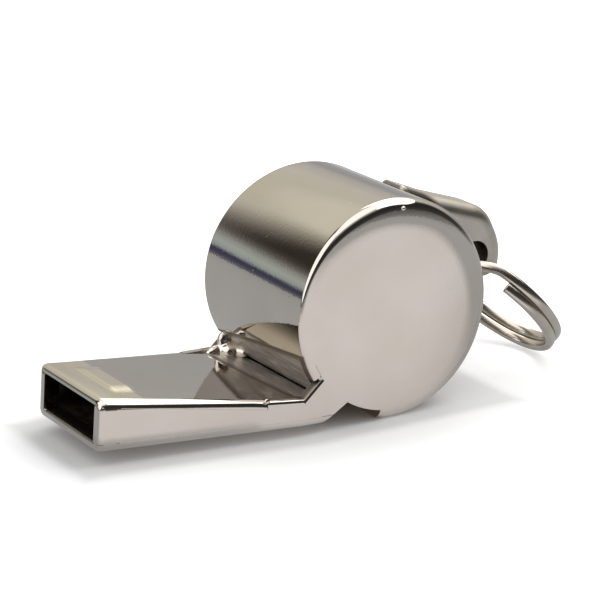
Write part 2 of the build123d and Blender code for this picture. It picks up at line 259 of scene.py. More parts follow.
def bright_nickel(name, satin=False):
    """Bright nickel on polished brass: warm and mirror-like, with a fine grain, faint waves and a few pits.

    The polishing wheel has rolled the mouthpiece's long edges, most of all at the lip.
    In the slot's corner, which no wheel reaches, it turns dull and brown. In the notch under the barrel it is
    dull too, and its dark brown colour is painted shade. A satin one also has the
    bite zone at the lip, where teeth have worn the gloss and the brass warms the colour.
    """
    material, tree = new_material(name)
    place = add(tree, "ShaderNodeTexCoord").outputs["Object"]
    part = add(tree, "ShaderNodeSeparateXYZ", {"Vector": place})
    cloud = add(tree, "ShaderNodeTexNoise", {"Vector": place, "Scale": per_metre(7.0), "Detail": 3.0})
    grain = add(tree, "ShaderNodeTexNoise", {"Vector": place, "Scale": per_metre(0.3), "Detail": 2.0})
    wave = add(tree, "ShaderNodeTexNoise", {"Vector": place, "Scale": per_metre(3.0), "Detail": 1.0})
    pits = add(tree, "ShaderNodeTexVoronoi", {"Vector": place, "Scale": per_metre(1.1), "Randomness": 1.0})
    tint = add(tree, "ShaderNodeValToRGB", {"Fac": cloud.outputs["Fac"]}, [
        (0.35, linear("cdc5bd")), (0.7, linear("c8bfb5")),
    ])
    haze = add(tree, "ShaderNodeValToRGB", {"Fac": cloud.outputs["Fac"]}, [
        (0.3, grey(0.028)), (0.75, grey(0.05)),
    ])
    dent = add(tree, "ShaderNodeValToRGB", {"Fac": pits.outputs["Distance"]}, [
        (0.0, grey(0)), (0.07, grey(1)),
    ])
    # How deep a point lies in the hollows by the slot and in the notch, but not on the outer faces
    side = add(tree, "ShaderNodeMath", {0: part.outputs["Y"]}, operation="ABSOLUTE")
    normal = add(tree, "ShaderNodeNewGeometry").outputs["Normal"]
    facing = add(tree, "ShaderNodeSeparateXYZ", {"Vector": normal})
    sideways = add(tree, "ShaderNodeMath", {0: facing.outputs["Y"]}, operation="ABSOLUTE")
    between = add(tree, "ShaderNodeMapRange", {
        "Value": sideways.outputs["Value"], "From Min": hollow_facing[0], "From Max": hollow_facing[1],
    })
    depths = []
    hollows = []
    for middle, drift, narrowing, rim, full in (slot_hollow, notch_hollow):
        flat = add(tree, "ShaderNodeVectorMath", {
            0: (-drift[0], -1, -drift[1]), "Scale": part.outputs["Y"],
        }, operation="SCALE")
        level = add(tree, "ShaderNodeVectorMath", {0: place, 1: flat.outputs["Vector"]}, operation="ADD")
        from_middle = add(tree, "ShaderNodeVectorMath", {
            0: level.outputs["Vector"], 1: tuple(v * MM for v in middle),
        }, operation="SUBTRACT")
        away = add(tree, "ShaderNodeVectorMath", {0: from_middle.outputs["Vector"]}, operation="LENGTH")
        depth = add(tree, "ShaderNodeMath", {
            0: part.outputs["Y"], 1: narrowing, 2: away.outputs["Value"],
        }, operation="MULTIPLY_ADD")
        deep = add(tree, "ShaderNodeMapRange", {
            "Value": depth.outputs["Value"], "From Min": rim * MM, "From Max": full * MM,
        }, interpolation_type="SMOOTHSTEP")
        hollow = add(tree, "ShaderNodeMath", {
            0: deep.outputs["Result"], 1: between.outputs["Result"],
        }, operation="MULTIPLY")
        depths.append(depth.outputs["Value"])
        hollows.append(hollow.outputs["Value"])
    dull = add(tree, "ShaderNodeMath", {0: hollows[0], 1: hollows[1]}, operation="MAXIMUM").outputs["Value"]
    streak = add(tree, "ShaderNodeMapping", {
        "Vector": place, "Scale": (per_metre(0.3), per_metre(2.4), per_metre(0.3)),
    })
    speck = add(tree, "ShaderNodeTexNoise", {"Vector": streak.outputs["Vector"], "Scale": 1.0, "Detail": 3.0})
    brown = add(tree, "ShaderNodeValToRGB", {"Fac": speck.outputs["Fac"]}, [
        (0.35, linear("b4aea8")), (0.6, linear("ccc7c2")), (0.72, linear("f2eeea")),
    ])
    # The colour is darkest at the hollow's rim and on the gussets' edges
    border = add(tree, "ShaderNodeMapRange", {
        "Value": depths[0], "From Min": dark_border[0] * MM, "From Max": dark_border[1] * MM,
    }, interpolation_type="SMOOTHSTEP")
    gusset = add(tree, "ShaderNodeMapRange", {
        "Value": side.outputs["Value"], "From Min": gusset_side[0] * MM, "From Max": gusset_side[1] * MM,
    })
    darkest = add(tree, "ShaderNodeMath", {
        0: border.outputs["Result"], 1: gusset.outputs["Result"],
    }, operation="MAXIMUM")
    shade = add(tree, "ShaderNodeMixRGB", {
        "Fac": darkest.outputs["Value"], "Color1": brown.outputs["Color"], "Color2": linear("7c7268"),
    })
    streaked = add(tree, "ShaderNodeMixRGB", {
        "Fac": hollows[0], "Color1": tint.outputs["Color"], "Color2": shade.outputs["Color"],
    })
    # Painted shade: the notch under the barrel is coloured dark brown
    notch_shaded = add(tree, "ShaderNodeMixRGB", {
        "Fac": hollows[1], "Color1": streaked.outputs["Color"], "Color2": linear("6a5a48"),
    })
    dulled = add(tree, "ShaderNodeMixRGB", {
        "Fac": dull, "Color1": haze.outputs["Color"], "Color2": grey(0.46),
    })
    colour = notch_shaded
    gloss = dulled
    if satin:
        bite = add(tree, "ShaderNodeMapRange", {
            "Value": part.outputs["X"],
            "From Min": (lip_x + bite_zone[0]) * MM, "From Max": (lip_x + bite_zone[1]) * MM,
        })
        upward = add(tree, "ShaderNodeMapRange", {
            "Value": facing.outputs["Z"], "From Min": bite_upward[0], "From Max": bite_upward[1],
        })
        worn = add(tree, "ShaderNodeMath", {
            0: bite.outputs["Result"], 1: upward.outputs["Result"],
        }, operation="MULTIPLY").outputs["Value"]
        colour = add(tree, "ShaderNodeMixRGB", {
            "Fac": worn, "Color1": notch_shaded.outputs["Color"], "Color2": linear("d6ccb8"),
        })
        gloss = add(tree, "ShaderNodeMixRGB", {
            "Fac": worn, "Color1": dulled.outputs["Color"], "Color2": grey(0.24),
        })
    lifted = add(tree, "ShaderNodeBump", {
        "Height": wave.outputs["Fac"], "Strength": 0.4, "Distance": 0.004 * MM,
    })
    grained = add(tree, "ShaderNodeBump", {
        "Height": grain.outputs["Fac"], "Strength": 1.0, "Distance": 0.0035 * MM,
        "Normal": lifted.outputs["Normal"],
    })
    pitted = add(tree, "ShaderNodeBump", {
        "Height": dent.outputs["Color"], "Strength": 0.4, "Distance": 0.02 * MM,
        "Normal": grained.outputs["Normal"],
    })
    # The long edges are rolled: near them the surface leans up towards the roof, or down towards the floor
    under_roof = depth_under_roof(tree, place)
    over = add(tree, "ShaderNodeVectorMath", {0: place, 1: (floor_slope, 0, 1)}, operation="DOT_PRODUCT")
    over_floor = add(tree, "ShaderNodeMath", {
        0: over.outputs["Value"], 1: floor_level * MM,
    }, operation="SUBTRACT")
    roll_end = add(tree, "ShaderNodeMapRange", {
        "Value": part.outputs["X"], "From Min": lip_x * MM, "From Max": shoulder_x * MM,
        "To Min": top_roll[0] * MM, "To Max": top_roll[1] * MM,
    })
    full_lean = add(tree, "ShaderNodeMapRange", {
        "Value": part.outputs["X"], "From Min": lip_x * MM, "From Max": shoulder_x * MM,
        "To Min": top_lean[0], "To Max": top_lean[1],
    })
    up = add(tree, "ShaderNodeMapRange", {
        "Value": under_roof, "From Min": roll_end.outputs["Result"], "From Max": top_roll[2] * MM,
        "To Max": full_lean.outputs["Result"],
    }, interpolation_type="SMOOTHSTEP")
    down = add(tree, "ShaderNodeMapRange", {
        "Value": over_floor.outputs["Value"], "From Min": floor_roll * MM, "From Max": 0.0,
        "To Max": floor_lean,
    }, interpolation_type="SMOOTHSTEP")
    to_roof = add(tree, "ShaderNodeVectorMath", {
        0: (roof_slope, 0, 1), "Scale": up.outputs["Result"],
    }, operation="SCALE")
    to_floor = add(tree, "ShaderNodeVectorMath", {
        0: (-floor_slope, 0, -1), "Scale": down.outputs["Result"],
    }, operation="SCALE")
    lean = add(tree, "ShaderNodeVectorMath", {
        0: to_roof.outputs["Vector"], 1: to_floor.outputs["Vector"],
    }, operation="ADD")
    straight = add(tree, "ShaderNodeMapRange", {
        "Value": part.outputs["X"],
        "From Min": (shoulder_x - roll_fade[0]) * MM, "From Max": (shoulder_x - roll_fade[1]) * MM,
    }, interpolation_type="SMOOTHSTEP")
    share = add(tree, "ShaderNodeVectorMath", {
        0: lean.outputs["Vector"], "Scale": straight.outputs["Result"],
    }, operation="SCALE")
    leaned = add(tree, "ShaderNodeVectorMath", {
        0: pitted.outputs["Normal"], 1: share.outputs["Vector"],
    }, operation="ADD")
    rolled = add(tree, "ShaderNodeVectorMath", {0: leaned.outputs["Vector"]}, operation="NORMALIZE")
    shader = add(tree, "ShaderNodeBsdfPrincipled", {
        "Base Color": colour.outputs["Color"],
        "Metallic": 1.0,
        "Roughness": gloss.outputs["Color"],
        "Normal": rolled.outputs["Vector"],
    })
    add(tree, "ShaderNodeOutputMaterial", {"Surface": shader.outputs["BSDF"]})
    return material


def dull_inside():
    """Inside of the sheets, where the plating is thin, and the lug's eye: dull, brown-grey as painted shade,
    lighter above the roof.
    """
    material, tree = new_material("dull_inside_painted_shade")
    place = add(tree, "ShaderNodeTexCoord").outputs["Object"]
    stain = add(tree, "ShaderNodeTexNoise", {"Vector": place, "Scale": per_metre(1.2), "Detail": 4.0})
    # Painted shade: brown-grey inside the chamber and the lug's eye
    tint = add(tree, "ShaderNodeValToRGB", {"Fac": stain.outputs["Fac"]}, [
        (0.35, linear("5a5048")), (0.72, linear("8a7e70")),
    ])
    matt = add(tree, "ShaderNodeValToRGB", {"Fac": stain.outputs["Fac"]}, [
        (0.3, grey(0.38)), (0.7, grey(0.55)),
    ])
    above = add(tree, "ShaderNodeMath", {
        0: depth_under_roof(tree, place), 1: 0.05 * MM,
    }, operation="LESS_THAN")
    part = add(tree, "ShaderNodeSeparateXYZ", {"Vector": place})
    ahead = add(tree, "ShaderNodeMath", {0: part.outputs["X"], 1: slot_corner_x * MM}, operation="LESS_THAN")
    outside = add(tree, "ShaderNodeMath", {
        0: above.outputs["Value"], 1: ahead.outputs["Value"],
    }, operation="MULTIPLY")
    # Lighter above the roof, ahead of the slot's corner, where the faces lie open out of the painted shade
    colour = add(tree, "ShaderNodeMixRGB", {
        "Fac": outside.outputs["Value"], "Color1": tint.outputs["Color"], "Color2": linear("d2cabf"),
    })
    rough = add(tree, "ShaderNodeBump", {
        "Height": stain.outputs["Fac"], "Strength": 0.4, "Distance": 0.01 * MM,
    })
    shader = add(tree, "ShaderNodeBsdfPrincipled", {
        "Base Color": colour.outputs["Color"],
        "Metallic": 1.0,
        "Roughness": matt.outputs["Color"],
        "Normal": rough.outputs["Normal"],
    })
    add(tree, "ShaderNodeOutputMaterial", {"Surface": shader.outputs["BSDF"]})
    return material


def plated_solder():
    """Soft solder under nickel: bright but lumpy, so it glints in small patches."""
    material, tree = new_material("nickel_plated_solder")
    place = add(tree, "ShaderNodeTexCoord").outputs["Object"]
    clot = add(tree, "ShaderNodeTexNoise", {"Vector": place, "Scale": per_metre(0.8), "Detail": 2.0})
    tint = add(tree, "ShaderNodeValToRGB", {"Fac": clot.outputs["Fac"]}, [
        (0.35, linear("d4cdc4")), (0.7, linear("bdb3a6")),
    ])
    haze = add(tree, "ShaderNodeValToRGB", {"Fac": clot.outputs["Fac"]}, [
        (0.35, grey(0.06)), (0.7, grey(0.16)),
    ])
    uneven = add(tree, "ShaderNodeBump", {
        "Height": clot.outputs["Fac"], "Strength": 0.4, "Distance": 0.05 * MM,
    })
    shader = add(tree, "ShaderNodeBsdfPrincipled", {
        "Base Color": tint.outputs["Color"],
        "Metallic": 1.0,
        "Roughness": haze.outputs["Color"],
        "Normal": uneven.outputs["Normal"],
    })
    add(tree, "ShaderNodeOutputMaterial", {"Surface": shader.outputs["BSDF"]})
    return material


def satin_nickel(name, light, dark, low, high):
    """Nickel over metal that was not polished to a mirror: soft, cloudy highlights and faint marks.

    Close to the barrel, on the flanks, its colour is darkened: a painted dark reflection.
    """
    material, tree = new_material(name)
    place = add(tree, "ShaderNodeTexCoord").outputs["Object"]
    cloud = add(tree, "ShaderNodeTexNoise", {"Vector": place, "Scale": per_metre(2.5), "Detail": 3.0})
    grain = add(tree, "ShaderNodeTexNoise", {"Vector": place, "Scale": per_metre(0.14), "Detail": 2.0})
    tint = add(tree, "ShaderNodeValToRGB", {"Fac": cloud.outputs["Fac"]}, [
        (0.35, linear(light)), (0.7, linear(dark)),
    ])
    haze = add(tree, "ShaderNodeValToRGB", {"Fac": cloud.outputs["Fac"]}, [
        (0.3, grey(low)), (0.75, grey(high)),
    ])
    marked = add(tree, "ShaderNodeBump", {
        "Height": grain.outputs["Fac"], "Strength": 0.5, "Distance": 0.002 * MM,
    })
    # Painted dark reflection: darker on the flanks close to the barrel, at the lug's foot
    middle = (barrel_x * MM, 0, axis_z * MM)
    from_axis = add(tree, "ShaderNodeVectorMath", {0: place, 1: middle}, operation="SUBTRACT")
    level = add(tree, "ShaderNodeVectorMath", {
        0: from_axis.outputs["Vector"], 1: (1, 0, 1),
    }, operation="MULTIPLY")
    reach = add(tree, "ShaderNodeVectorMath", {0: level.outputs["Vector"]}, operation="LENGTH")
    near_foot = add(tree, "ShaderNodeMapRange", {
        "Value": reach.outputs["Value"], "From Min": foot_dark_reach[0] * MM, "From Max": foot_dark_reach[1] * MM,
    }, interpolation_type="SMOOTHSTEP")
    part = add(tree, "ShaderNodeSeparateXYZ", {"Vector": place})
    side = add(tree, "ShaderNodeMath", {0: part.outputs["Y"]}, operation="ABSOLUTE")
    flank = add(tree, "ShaderNodeMapRange", {
        "Value": side.outputs["Value"], "From Min": foot_dark_side[0] * MM, "From Max": foot_dark_side[1] * MM,
    }, interpolation_type="SMOOTHSTEP")
    foot_dark = add(tree, "ShaderNodeMath", {
        0: near_foot.outputs["Result"], 1: flank.outputs["Result"],
    }, operation="MULTIPLY")
    colour = add(tree, "ShaderNodeMixRGB", {
        "Fac": foot_dark.outputs["Value"], "Color1": tint.outputs["Color"], "Color2": linear("4c453e"),
    })
    shader = add(tree, "ShaderNodeBsdfPrincipled", {
        "Base Color": colour.outputs["Color"],
        "Metallic": 1.0,
        "Roughness": haze.outputs["Color"],
        "Normal": marked.outputs["Normal"],
    })
    add(tree, "ShaderNodeOutputMaterial", {"Surface": shader.outputs["BSDF"]})
    return material


def pressed_cork():
    """Ground and pressed cork: tan granules with dark seams and pores."""
    material, tree = new_material("pressed_cork")
    place = add(tree, "ShaderNodeTexCoord").outputs["Object"]
    granule = add(tree, "ShaderNodeTexVoronoi", {"Vector": place, "Scale": per_metre(1.3)})
    seam = add(tree, "ShaderNodeTexVoronoi", {
        "Vector": place, "Scale": per_metre(1.3),
    }, feature="DISTANCE_TO_EDGE")
    speck = add(tree, "ShaderNodeTexNoise", {"Vector": place, "Scale": per_metre(0.4), "Detail": 4.0})
    tone = add(tree, "ShaderNodeValToRGB", {"Fac": granule.outputs["Color"]}, [
        (0.2, linear("a87c4c")), (0.8, linear("c69c68")),
    ])
    edge = add(tree, "ShaderNodeValToRGB", {"Fac": seam.outputs["Distance"]}, [
        (0.0, grey(0.35)), (0.12, grey(1)),
    ])
    pore = add(tree, "ShaderNodeValToRGB", {"Fac": speck.outputs["Fac"]}, [
        (0.36, (0.45, 0.4, 0.35, 1)), (0.5, grey(1)),
    ])
    seamed = add(tree, "ShaderNodeMixRGB", {
        "Fac": 1.0, "Color1": tone.outputs["Color"], "Color2": edge.outputs["Color"],
    }, blend_type="MULTIPLY")
    pored = add(tree, "ShaderNodeMixRGB", {
        "Fac": 1.0, "Color1": seamed.outputs["Color"], "Color2": pore.outputs["Color"],
    }, blend_type="MULTIPLY")
    relief = add(tree, "ShaderNodeBump", {
        "Height": edge.outputs["Color"], "Strength": 0.7, "Distance": 0.12 * MM,
    })
    shader = add(tree, "ShaderNodeBsdfPrincipled", {
        "Base Color": pored.outputs["Color"],
        "Roughness": 0.85,
        "Normal": relief.outputs["Normal"],
    })
    add(tree, "ShaderNodeOutputMaterial", {"Surface": shader.outputs["BSDF"]})
    return material


nickel = bright_nickel("bright_nickel_plate")
bitten = bright_nickel("bright_nickel_plate_worn_at_lip", satin=True)
inside = dull_inside()
solder = plated_solder()
wire = satin_nickel("nickel_plated_spring_wire", "d2cabf", "c4baad", 0.16, 0.26)
cast = satin_nickel("nickel_plated_casting", "cbc3b9", "bfb6ab", 0.32, 0.4)
cork = pressed_cork()


def dress(name, metal, inner=None):
    """Gives a CAD node its finish.

    inner tells, from face centres in mm and normals, which faces lie inside.
    """
    thing = nodes[name]
    thing.data.materials.clear()
    thing.data.materials.append(metal)
    if inner is None:
        return
    thing.data.materials.append(inside)
    faces = thing.data.polygons
    centres = np.empty(3 * len(faces))
    normals = np.empty(3 * len(faces))
    faces.foreach_get("center", centres)
    faces.foreach_get("normal", normals)
    chosen = inner(centres.reshape(-1, 3) / MM, normals.reshape(-1, 3))
    faces.foreach_set("material_index", chosen.astype(np.int32))
    thing.data.update()


def eye_wall(centres, normals):
    """Faces round the lug's eye that look to its middle."""
    inward = np.array(eye_middle) - centres
    level = inward[:, [0, 2]]
    return (np.hypot(*level.T) < eye_reach) & ((level * normals[:, [0, 2]]).sum(axis=1) > eye_share)


# Faces inside the chamber and round the lug's eye take the inside finish, darkened as painted shade
dress("right_side_plate", nickel, lambda c, n: n[:, 1] > inner_share)
dress("left_side_plate", nickel, lambda c, n: n[:, 1] < -inner_share)
dress("barrel_band", nickel)
dress("mouthpiece_roof", bitten, lambda c, n: n[:, 2] < -inner_share)
dress("mouthpiece_floor", nickel, lambda c, n: n[:, 2] > inner_share)
dress("lanyard_lug", cast, eye_wall)
dress("split_ring", wire)
dress("cork_pea", cork)


# Pieces


def finish_piece(name, points, walls, tips, finish, body, slot):
    """Mesh piece of quads and triangles that faces outwards, judged by its volume, with sharp edges kept."""
    wall = points[walls]
    tip = points[tips]
    volume = (np.cross(wall[:, 0], wall[:, 1]) * wall[:, 2]).sum()
    volume += (np.cross(wall[:, 0], wall[:, 2]) * wall[:, 3]).sum()
    volume += (np.cross(tip[:, 0], tip[:, 1]) * tip[:, 2]).sum()
    order = slice(None, None, 1 if volume > 0 else -1)
    sheet = bpy.data.meshes.new(name)
    sheet.from_pydata(points.tolist(), [], walls[:, order].tolist() + tips[:, order].tolist())
    sheet.polygons.foreach_set("use_smooth", np.ones(len(sheet.polygons), bool))
    sheet.set_sharp_from_angle(angle=math.radians(sharp_angle))
    sheet.materials.append(finish)
    sheet.update()
    piece = bpy.data.objects.new(name, sheet)
    bpy.context.collection.objects.link(piece)
    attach(piece, body)
    return piece


def tube(rings):
    """Points, quads and end fans of a closed tube through rings of points, (rings, points, 3) in mm."""
    count, around, _ = rings.shape
    points = np.concatenate([rings.reshape(-1, 3), rings[[0, -1]].mean(axis=1)]) * MM
    start = np.arange(count - 1)[:, None] * around
    this = np.arange(around)
    after = (this + 1) % around
    walls = np.stack([start + this, start + after, start + around + after, start + around + this], -1)
    walls = walls.reshape(-1, 4)
    top = (count - 1) * around
    tips = np.concatenate([
        np.stack([np.full(around, count * around), after, this], -1),
        np.stack([np.full(around, count * around + 1), top + this, top + after], -1),
    ])
    return points, walls, tips


def skin(name, rings, finish, body, slot):
    """Closed tube through rings of points, with a fan to the middle of each end ring."""
    return finish_piece(name, *tube(rings), finish, body, slot)


def wound_ring():
    """Split ring: a flattened wire section carried along two turns that lie against each other.

    The path runs round ring_centre in the ring's plane, on one side of it for the first turn, crosses over
    along a smooth step between two angles, and stays on the other side for the second. The section is a
    superellipse, wire_deep along the spoke by wire_wide along the ring's axis, and shrinks at both cut ends.
    """
    end = np.radians(wire_end_round)
    first = np.radians(wire_first)
    last = np.radians(wire_last)
    angle = np.concatenate([
        first - end * wire_end_places,
        np.linspace(first - end, last + end, wire_steps),
        last + end * wire_end_places[::-1],
    ])
    size = np.ones(len(angle))
    size[:len(wire_end_sizes)] = wire_end_sizes
    size[-len(wire_end_sizes):] = wire_end_sizes[::-1]
    over = smooth_step((np.radians(cross_first) - angle) / np.radians(cross_first - cross_last))
    side = turn_half * (1 - 2 * over)
    spoke = np.sin(angle)[:, None] * ring_near - np.cos(angle)[:, None] * ring_out
    path = ring_centre + ring_radius * spoke + side[:, None] * ring_axis
    ahead = np.gradient(path, axis=0)
    ahead /= np.linalg.norm(ahead, axis=1, keepdims=True)
    across = np.cross(ahead, spoke)
    across /= np.linalg.norm(across, axis=1, keepdims=True)
    round_angle = np.linspace(0, 2 * np.pi, wire_around, endpoint=False)
    bulge = 2 / wire_squareness
    deep = np.sign(np.cos(round_angle)) * np.abs(np.cos(round_angle)) ** bulge * wire_deep / 2
    wide = np.sign(np.sin(round_angle)) * np.abs(np.sin(round_angle)) ** bulge * wire_wide / 2
    rings = path[:, None] + size[:, None, None] * (
        deep[None, :, None] * spoke[:, None] + wide[None, :, None] * across[:, None]
    )
    return skin("split_ring_wound", rings, wire, "ring", "ring_steel")


def lump(centre, radii, phase):
    """Rings of a blob: an ellipsoid whose radius swells and sinks by sums of sines of its two angles."""
    rise = np.radians(np.linspace(-lump_last, lump_last, lump_rings))[:, None]
    turn = np.linspace(0, 2 * np.pi, lump_around, endpoint=False)[None, :]
    waves = np.cos(rise) * (np.sin(3 * turn + phase) * np.cos(2 * rise) + np.sin(5 * turn + 2 * phase) / 2)
    swell = 1 + lump_swell * (waves + np.sin(3 * rise + phase) / 2)
    shape = np.stack([
        np.cos(rise) * np.cos(turn), np.cos(rise) * np.sin(turn), np.sin(rise) + 0 * turn,
    ], -1)
    return np.array(centre) + shape * swell[..., None] * np.array(radii)


def solder_bead(name, lumps):
    """Solder run together from blobs: their skins are remeshed as one and smoothed where they meet."""
    points, walls, tips = [], [], []
    count = 0
    for blob in lumps:
        more_points, more_walls, more_tips = tube(lump(*blob))
        points.append(more_points)
        walls.append(more_walls + count)
        tips.append(more_tips + count)
        count += len(more_points)
    piece = finish_piece(
        name, np.concatenate(points), np.concatenate(walls), np.concatenate(tips),
        solder, "whistle_body", "nickel_plate",
    )
    if len(lumps) > 1:
        melt = piece.modifiers.new("melt", "REMESH")
        melt.mode = "VOXEL"
        melt.voxel_size = melt_voxel * MM
        melt.use_smooth_shade = True
        flow = piece.modifiers.new("flow", "SMOOTH")
        flow.factor = flow_share
        flow.iterations = flow_rounds
    return piece


def smooth_step(t):
    """Rise from 0 to 1 with flat ends: three squares less two cubes."""
    t = np.clip(t, 0, 1)
    return t * t * (3 - 2 * t)


def grip_swell():
    """Rings along the roof over the tooth grip.

    The height is a product of smooth steps along and across the roof, less a small sink at the foot.
    """
    foot = swell_lead + swell_margin
    along = np.linspace(-foot, grip_length + foot, swell_rows)[:, None]
    across = np.linspace(-swell_half - swell_margin, swell_half + swell_margin, swell_columns)[None, :]
    front = smooth_step((along + swell_lead) / swell_run)
    rear = smooth_step((grip_length + swell_lead - along) / swell_run)
    fade = smooth_step((swell_half - np.abs(across)) / swell_fade)
    height = swell_height * front * rear * fade - swell_sink
    run = np.concatenate([along + 0 * across, along + 0 * across], axis=1) + grip_setback
    side = np.concatenate([across + 0 * along, across[:, ::-1] + 0 * along], axis=1)
    rise = np.concatenate([height, 0 * height - swell_root], axis=1)
    tilt = math.atan(roof_slope)
    return np.stack([
        lip_x + lip_lean + run * math.cos(tilt) + rise * math.sin(tilt),
        side,
        lip_level + mouth_height - run * math.sin(tilt) + rise * math.cos(tilt),
    ], -1)


def side_half(x):
    """Half width over the side plates at x."""
    return half_width - side_taper * np.maximum(0, bend_x - x)


def roof_top(x):
    """Height of the roof's upper face at x."""
    return lip_level + mouth_height - roof_slope * (x - lip_x - lip_lean)


def floor_under(x):
    """Height of the floor's lower face at x."""
    return lip_level - floor_slope * (x - lip_x)


def solder_seam(name, hand, low, high, last):
    """Bar of solder in a seam of the mouthpiece.

    Its four corners follow the side's face and the sheets' edges.
    """
    along = np.linspace(lip_x + seam_start, last, seam_steps)
    face = hand * (side_half(along) - seam_sink)
    back = hand * (side_half(along) - seam_deep)
    corners = [(face, low), (face, high), (back, high), (back, low)]
    rings = np.stack([np.stack([along, across, edge(along)], -1) for across, edge in corners], axis=1)
    return skin(name, rings, solder, "whistle_body", "nickel_plate")


def rolled_band():
    """Barrel band: a strip's section carried round the axis, with rims that carry on the crown of the discs.

    At each angle the disc's margin has fallen by a certain depth and leans by a certain angle. The rim is
    an arc that starts with that depth and lean and turns square to the barrel's skin. It is wide over the
    top and the back, and tight on the mouthpiece's side.
    Past the narrowing the strip is flat and fits between the plates.
    """
    rim_full = barrel_radius - disc_radius
    turn = np.concatenate([
        np.linspace(band_start, band_narrow - narrow_gap, band_steps),
        np.linspace(band_narrow, band_stop, tongue_steps),
    ])
    reach = disc_radius + crown_inset * np.cos(np.radians(turn - crown_angle + 180)) - crown_start
    reach = np.maximum(reach, 0)
    lean = np.arcsin(reach / crown_round)
    edge = half_width - crown_round * (1 - np.cos(lean))
    tight = smooth_step((turn - rim_wide_to) / (rim_tight_from - rim_wide_to))
    rim = rim_full - (rim_full - rim_tight) * tight
    edge = edge - (rim_full - rim) * np.tan(lean)
    bow = rim / (1 - np.sin(lean))
    share = np.linspace(0, 1, rim_steps)
    tilt = lean[:, None] + (np.pi / 2 - lean[:, None]) * share
    rim_r = barrel_radius - rim[:, None] + bow[:, None] * (np.sin(tilt) - np.sin(lean[:, None]))
    rim_y = edge[:, None] - bow[:, None] * (np.cos(lean[:, None]) - np.cos(tilt))
    narrow = turn >= band_narrow
    rim_r[narrow] = disc_radius + rim_full * share
    rim_y[narrow] = tongue_half
    inner_r = np.full((len(turn), 1), band_inner)
    inner_y = np.where(narrow, tongue_half, edge + (barrel_radius - rim - band_inner) * np.tan(lean))[:, None]
    half_r = np.concatenate([inner_r, rim_r], axis=1)
    half_y = np.concatenate([inner_y, rim_y], axis=1)
    radius = np.concatenate([half_r, half_r[:, ::-1]], axis=1)
    across = np.concatenate([-half_y, half_y[:, ::-1]], axis=1)
    angle = np.radians(turn)[:, None]
    rings = np.stack([barrel_x + radius * np.cos(angle), across, axis_z + radius * np.sin(angle)], -1)
    return skin("barrel_band_rolled", rings, nickel, "whistle_body", "nickel_plate")


# The lip's section: shares of the wall from the outer skin inwards, and depths behind the front plane in mm
lip_section = np.array([
    (0.05, 2.6), (0.012, 1.9), (-0.012, 1.2), (-0.014, 0.8), (-0.012, 0.6), (0.01, 0.42),
    (0.06, 0.26), (0.15, 0.13), (0.27, 0.045), (0.4, 0.002), (0.55, -0.012), (0.78, -0.012),
    (0.9, 0.01), (0.98, 0.07), (1.02, 0.17), (1.03, 0.5), (1.02, 1.6), (0.5, 2.6),
])
lip_corner_outer = 0.66
lip_corner_inner = 0.22
lip_corner_steps = 9
# Rounds in which a point's depth and height, which hang on each other, settle
lip_rounds = 3


def lip_rim():
    """Rim of the mouth: its section carried round the mouthpiece's rounded rectangle.

    Each point of the section has a share of the wall, which draws the rectangle in, and a depth behind the
    leaning front plane. The corners are arcs whose radius goes from the outer one to the inner one
    with the share.
    """
    quarter = np.linspace(0, np.pi / 2, lip_corner_steps)
    corner = np.concatenate([quarter, quarter + np.pi / 2, quarter + np.pi, quarter + 3 * np.pi / 2])
    side = np.repeat([1, -1, -1, 1], len(quarter))
    rise = np.repeat([1, 1, -1, -1], len(quarter))
    share, depth = lip_section.T[:, :, None]
    bend = lip_corner_outer + (lip_corner_inner - lip_corner_outer) * np.clip(share, 0, 1)
    run = lip_x + depth + 0 * corner
    for _ in range(lip_rounds):
        half = side_half(run) - share * side_wall
        top = roof_top(run) - share * sheet_wall
        low = floor_under(run) + share * sheet_wall
        height = np.where(rise > 0, top - bend, low + bend) + bend * np.sin(corner)
        run = lip_x + depth + lip_lean * (height - lip_level) / mouth_height
    across = side * (half - bend) + bend * np.cos(corner)
    return np.stack([run, across, height], -1).transpose(1, 0, 2)


def loop(name, rings, finish, body, slot):
    """Closed skin through sections of points, (sections, points, 3) in mm, the last joined to the first."""
    count, around, _ = rings.shape
    points = rings.reshape(-1, 3) * MM
    start = np.arange(count)[:, None] * around
    following = (np.arange(count)[:, None] + 1) % count * around
    this = np.arange(around)
    after = (this + 1) % around
    walls = np.stack([start + this, start + after, following + after, following + this], -1).reshape(-1, 4)
    return finish_piece(name, points, walls, np.empty((0, 3), int), finish, body, slot)


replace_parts(wound_ring(), "split_ring")
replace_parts(rolled_band(), "barrel_band")
loop("lip_rim", lip_rim(), bitten, "whistle_body", "nickel_plate")
skin("grip_swell", grip_swell(), bitten, "whistle_body", "nickel_plate")
for bead_name, bead_lumps in solder_beads:
    solder_bead(bead_name, bead_lumps)
roof_drop = sheet_wall * math.hypot(1, roof_slope)
for hand, word in ((-1, "right"), (1, "left")):
    solder_seam(
        "solder_seam_roof_" + word, hand, lambda x: roof_top(x) - roof_drop - solder_film - seam_lap,
        lambda x: roof_top(x) - roof_drop + seam_lap, shoulder_x,
    )
    solder_seam(
        "solder_seam_floor_" + word, hand, lambda x: floor_under(x) + sheet_wall - seam_lap,
        lambda x: floor_under(x) + sheet_wall + solder_film + seam_lap, heel_x,
    )


# Stage

floor_half = 900.0
# The floor's pale patch in the metal, a painted pool of light: from where to where it comes in, towards -Y,
# to the left and inwards
patch_ahead = (-2, -12)
patch_left = (-8, 5)
patch_near = (160, 45)
leftward_aim = (-0.766, -0.643, 0)
# How the floor glows more away from the whistle, which leaves a painted shadow close to it:
# two steps by distance from its outline, one from the origin
outline_lifts = ((1.2, 3.2, 0.2), (3.0, 14.0, 0.25))
origin_lift = (25.0, 65.0, 0.5)


